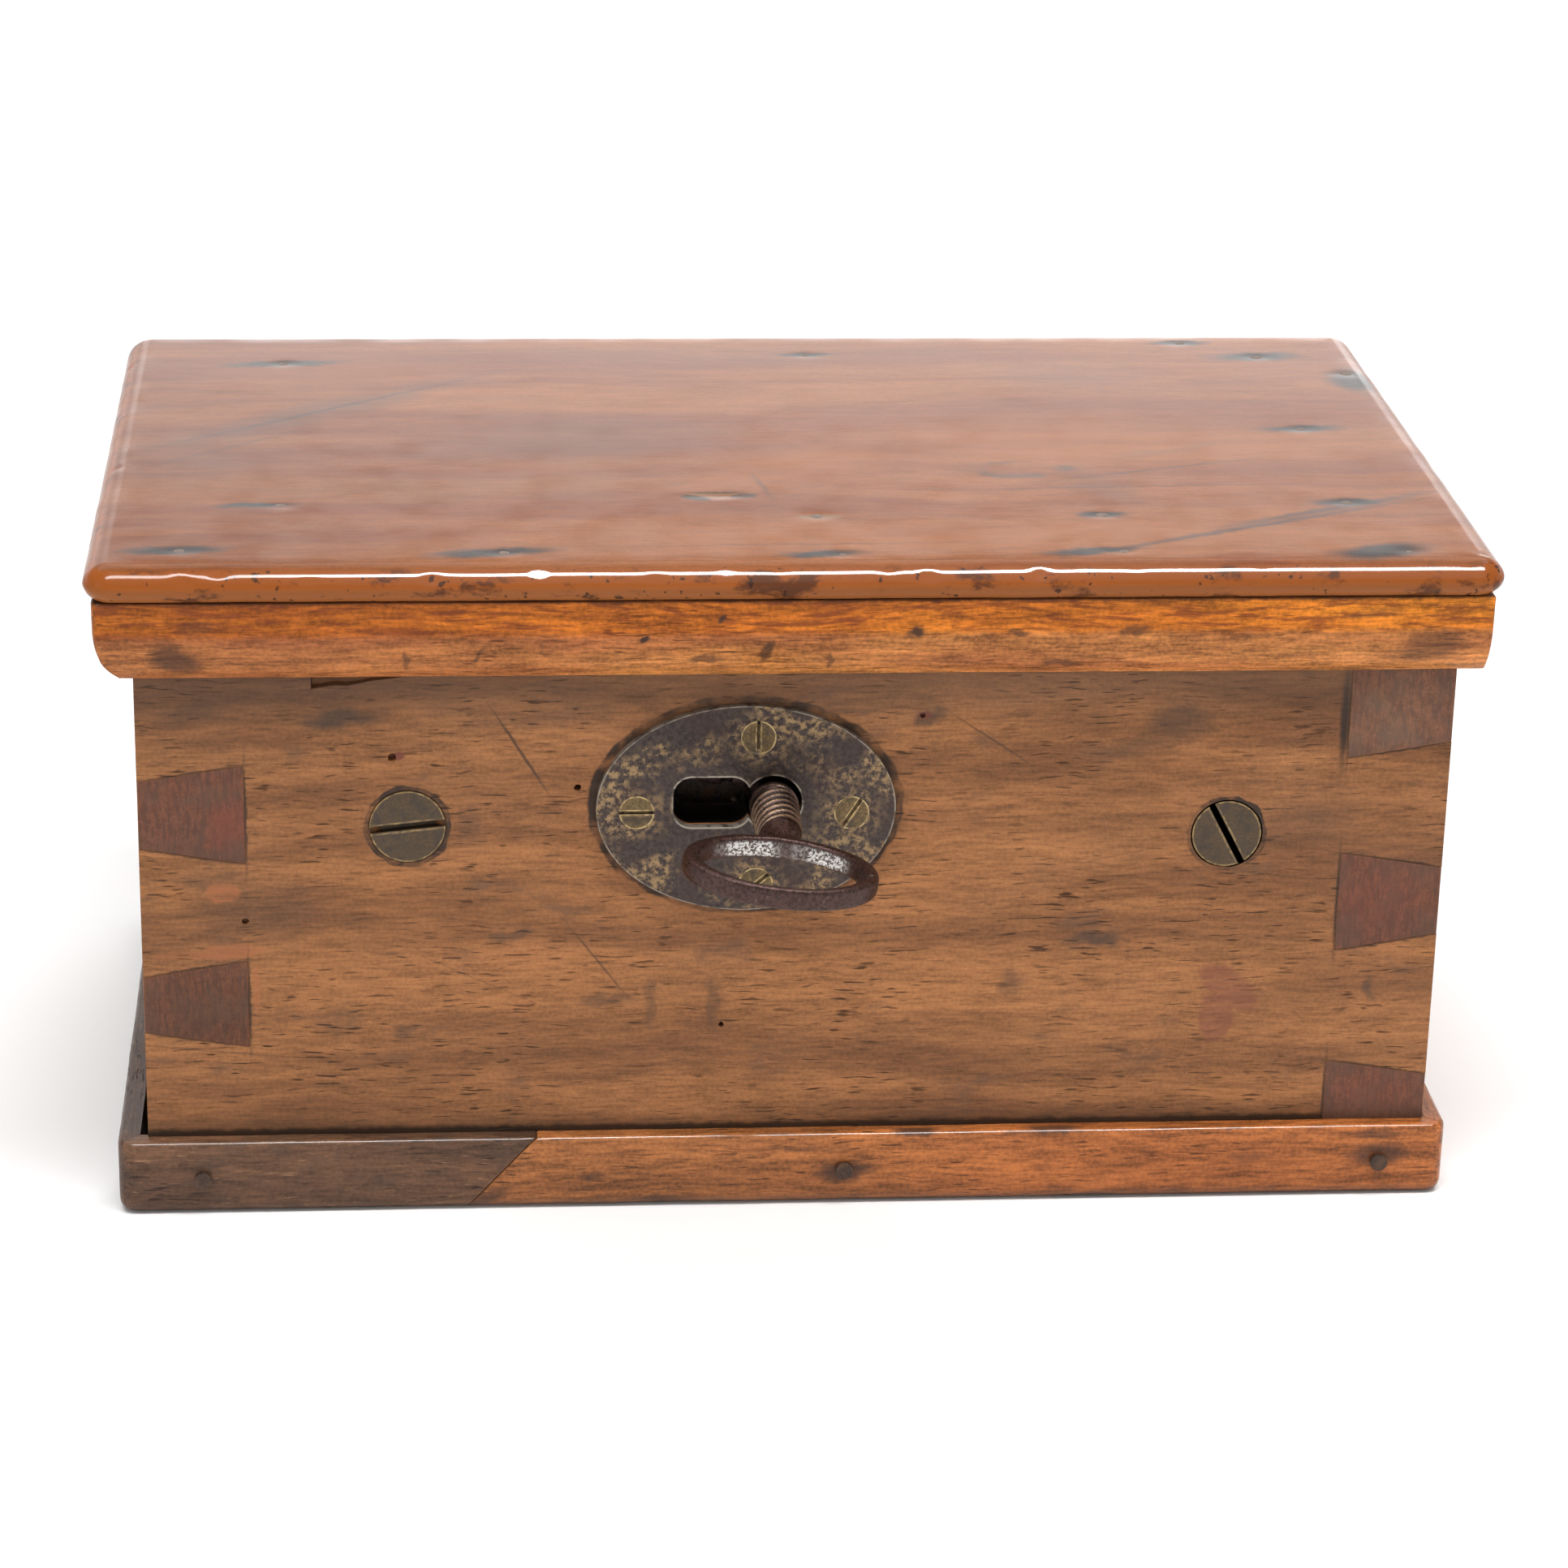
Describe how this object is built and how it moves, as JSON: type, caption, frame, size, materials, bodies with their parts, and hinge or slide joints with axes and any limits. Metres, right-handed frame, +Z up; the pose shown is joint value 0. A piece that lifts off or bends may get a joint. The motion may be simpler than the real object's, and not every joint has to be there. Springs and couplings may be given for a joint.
{
  "type": "wooden money box",
  "caption": "Small dovetailed wooden box with a plinth, a hinged lid with moulded rails, an oval keyhole plate, and a lock with its key.",
  "frame": {"origin": "middle of the body, on the underside of the bottom board", "axes": "+X to the right, +Y to the back, +Z up; the keyhole faces -Y"},
  "size_m": [0.2656, 0.2018, 0.1332],
  "materials": {
    "body_wood": "worn satin polish",
    "side_wood": "worn satin polish",
    "plinth_wood": "waxed polish",
    "patch_wood": "waxed polish",
    "lid_wood": "polished",
    "rail_wood": "polished",
    "plain_wood": "bare, aged",
    "dark_iron": "brown, lightly rusted",
    "key_iron": "dark brown, worn bright inside the bow",
    "nail_iron": "dark",
    "aged_brass": "tarnished",
    "hinge_brass": "tarnished",
    "spring_steel": "dull"
  },
  "bodies": {
    "box": {"front_board": "body_wood", "back_board": "body_wood", "left_side": "side_wood", "right_side": "side_wood", "bottom_board": "plain_wood", "bottom_nails": "nail_iron", "plinth_front": "plinth_wood", "plinth_patch": "patch_wood", "plinth_left": "patch_wood", "plinth_right": "plinth_wood", "plinth_back": "plinth_wood", "plinth_nails": "nail_iron", "lock_batten": "plain_wood", "front_screw_left": "aged_brass", "front_screw_right": "aged_brass", "escutcheon": "dark_iron", "escutcheon_screws": "aged_brass", "lock_plate": "dark_iron", "lock_cap": "dark_iron", "lock_ward": "dark_iron", "drill_pin": "dark_iron", "bolt_guides": "dark_iron", "lock_screws": "aged_brass", "hinge_left_lower": "hinge_brass", "hinge_right_lower": "hinge_brass", "hinge_pins": "nail_iron", "hinge_screws_lower": "aged_brass"},
    "lid": {"lid_board": "lid_wood", "lid_rail_front": "rail_wood", "lid_rail_left": "rail_wood", "lid_rail_right": "rail_wood", "lid_rail_back": "rail_wood", "lid_nails": "nail_iron", "hook_plate": "dark_iron", "hook_screws": "aged_brass", "hinge_left_upper": "hinge_brass", "hinge_right_upper": "hinge_brass", "hinge_screws_upper": "aged_brass"},
    "key": {"key": "key_iron"},
    "bolt": {"lock_bolt": "dark_iron", "bolt_spring": "spring_steel"}
  },
  "joints": [
    {"name": "lid_hinge", "type": "hinge", "parent": "box", "child": "lid", "pos_m": [0, 0.0738, 0.1099], "axis": [-1, 0, 0], "range_deg": [0, 110]},
    {"name": "key_turn", "type": "hinge", "parent": "box", "child": "key", "pos_m": [-0.0052, -0.0575, 0.0842], "axis": [0, 1, 0], "range_deg": [-7, 353]},
    {"name": "bolt_slide", "type": "slide", "parent": "box", "child": "bolt", "axis": [1, 0, 0], "range_m": [-0.0002, 0.0069]}
  ],
  "couplings": [
    {"joint": "bolt_slide", "follows": "key_turn", "m_per_rad": 0.0011141}
  ]
}
